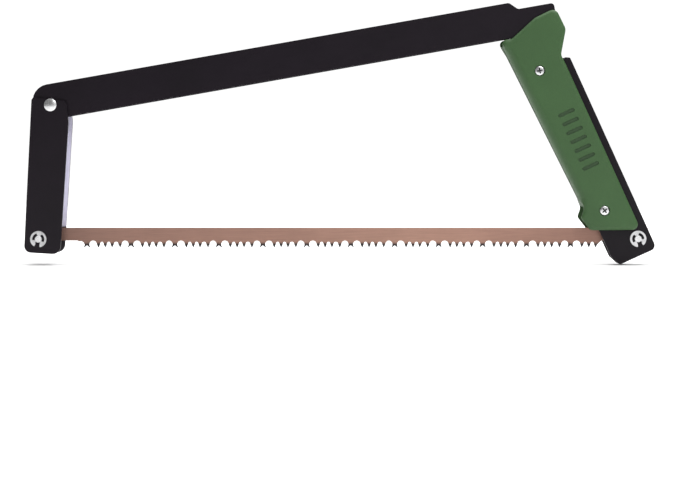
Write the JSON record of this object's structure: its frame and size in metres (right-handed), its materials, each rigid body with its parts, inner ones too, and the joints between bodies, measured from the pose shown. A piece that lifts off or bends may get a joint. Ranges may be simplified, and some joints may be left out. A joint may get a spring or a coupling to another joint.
{
  "type": "folding bow saw",
  "caption": "Folding bow saw: channel spine and hinged front arm hold a pinned raker-tooth blade, tensioned by a lever behind the moulded grip.",
  "frame": {"origin": "middle of the saw's length and thickness at its lowest point, saw upright with its teeth down", "axes": "+X along the blade from the front arm to the handle, +Y through the thickness to the far side, +Z from the teeth to the spine"},
  "size_m": [0.5572, 0.028, 0.231],
  "materials": {
    "frame_black": "satin black anodised channel",
    "lever_black": "satin black anodised channel",
    "blade_bronze": "bronze-toned coated strip, dark tooth tips",
    "grip_green": "fine moulded texture, green",
    "fastener_steel": "bright zinc-plated",
    "bush_plastic": "black nylon"
  },
  "bodies": {
    "spine": {"spine": "frame_black", "front_pivot_rivet_near": "fastener_steel", "front_pivot_rivet_far": "fastener_steel", "front_pivot_washer_near": "fastener_steel", "front_pivot_washer_far": "fastener_steel"},
    "front_arm": {"front_arm": "frame_black", "front_blade_pin": "fastener_steel", "front_clip_near": "fastener_steel", "front_clip_far": "fastener_steel", "front_spacer_near": "bush_plastic", "front_spacer_far": "bush_plastic"},
    "blade": {"blade": "blade_bronze"},
    "tension_lever": {"tension_lever": "lever_black", "rear_blade_pin": "fastener_steel", "rear_clip_near": "fastener_steel", "rear_clip_far": "fastener_steel", "rear_spacer_near": "bush_plastic", "rear_spacer_far": "bush_plastic"},
    "handle": {"handle_near_shell": "grip_green", "handle_far_shell": "grip_green", "lower_handle_screw_near": "fastener_steel", "lower_handle_screw_far": "fastener_steel", "lever_pivot_barrel_near": "fastener_steel", "lever_pivot_barrel_far": "fastener_steel", "lever_bush_near": "bush_plastic", "lever_bush_far": "bush_plastic", "upper_handle_screw_near": "fastener_steel", "upper_handle_screw_far": "fastener_steel", "upper_handle_insert_near": "fastener_steel", "upper_handle_insert_far": "fastener_steel"}
  },
  "joints": [
    {"name": "frame_fold", "type": "hinge", "parent": "spine", "child": "front_arm", "pos_m": [-0.25572, 0, 0.14091], "axis": [0, 1, 0], "range_deg": [0, 74.69]},
    {"name": "blade_fold", "type": "hinge", "parent": "front_arm", "child": "blade", "pos_m": [-0.26612, 0, 0.02251], "axis": [0, -1, 0], "range_deg": [0, 84.74]},
    {"name": "lever_fold", "type": "hinge", "parent": "blade", "child": "tension_lever", "pos_m": [0.26388, 0, 0.02251], "axis": [0, -1, 0], "range_deg": [0, 65.65]},
    {"name": "lever_open", "type": "hinge", "parent": "tension_lever", "child": "handle", "pos_m": [0.23324, 0, 0.0477], "axis": [0, -1, 0], "range_deg": [0, 45]}
  ],
  "couplings": [
    {"joint": "blade_fold", "follows": "frame_fold", "ratio": 1.1339},
    {"joint": "lever_fold", "follows": "frame_fold", "ratio": 0.8783}
  ]
}
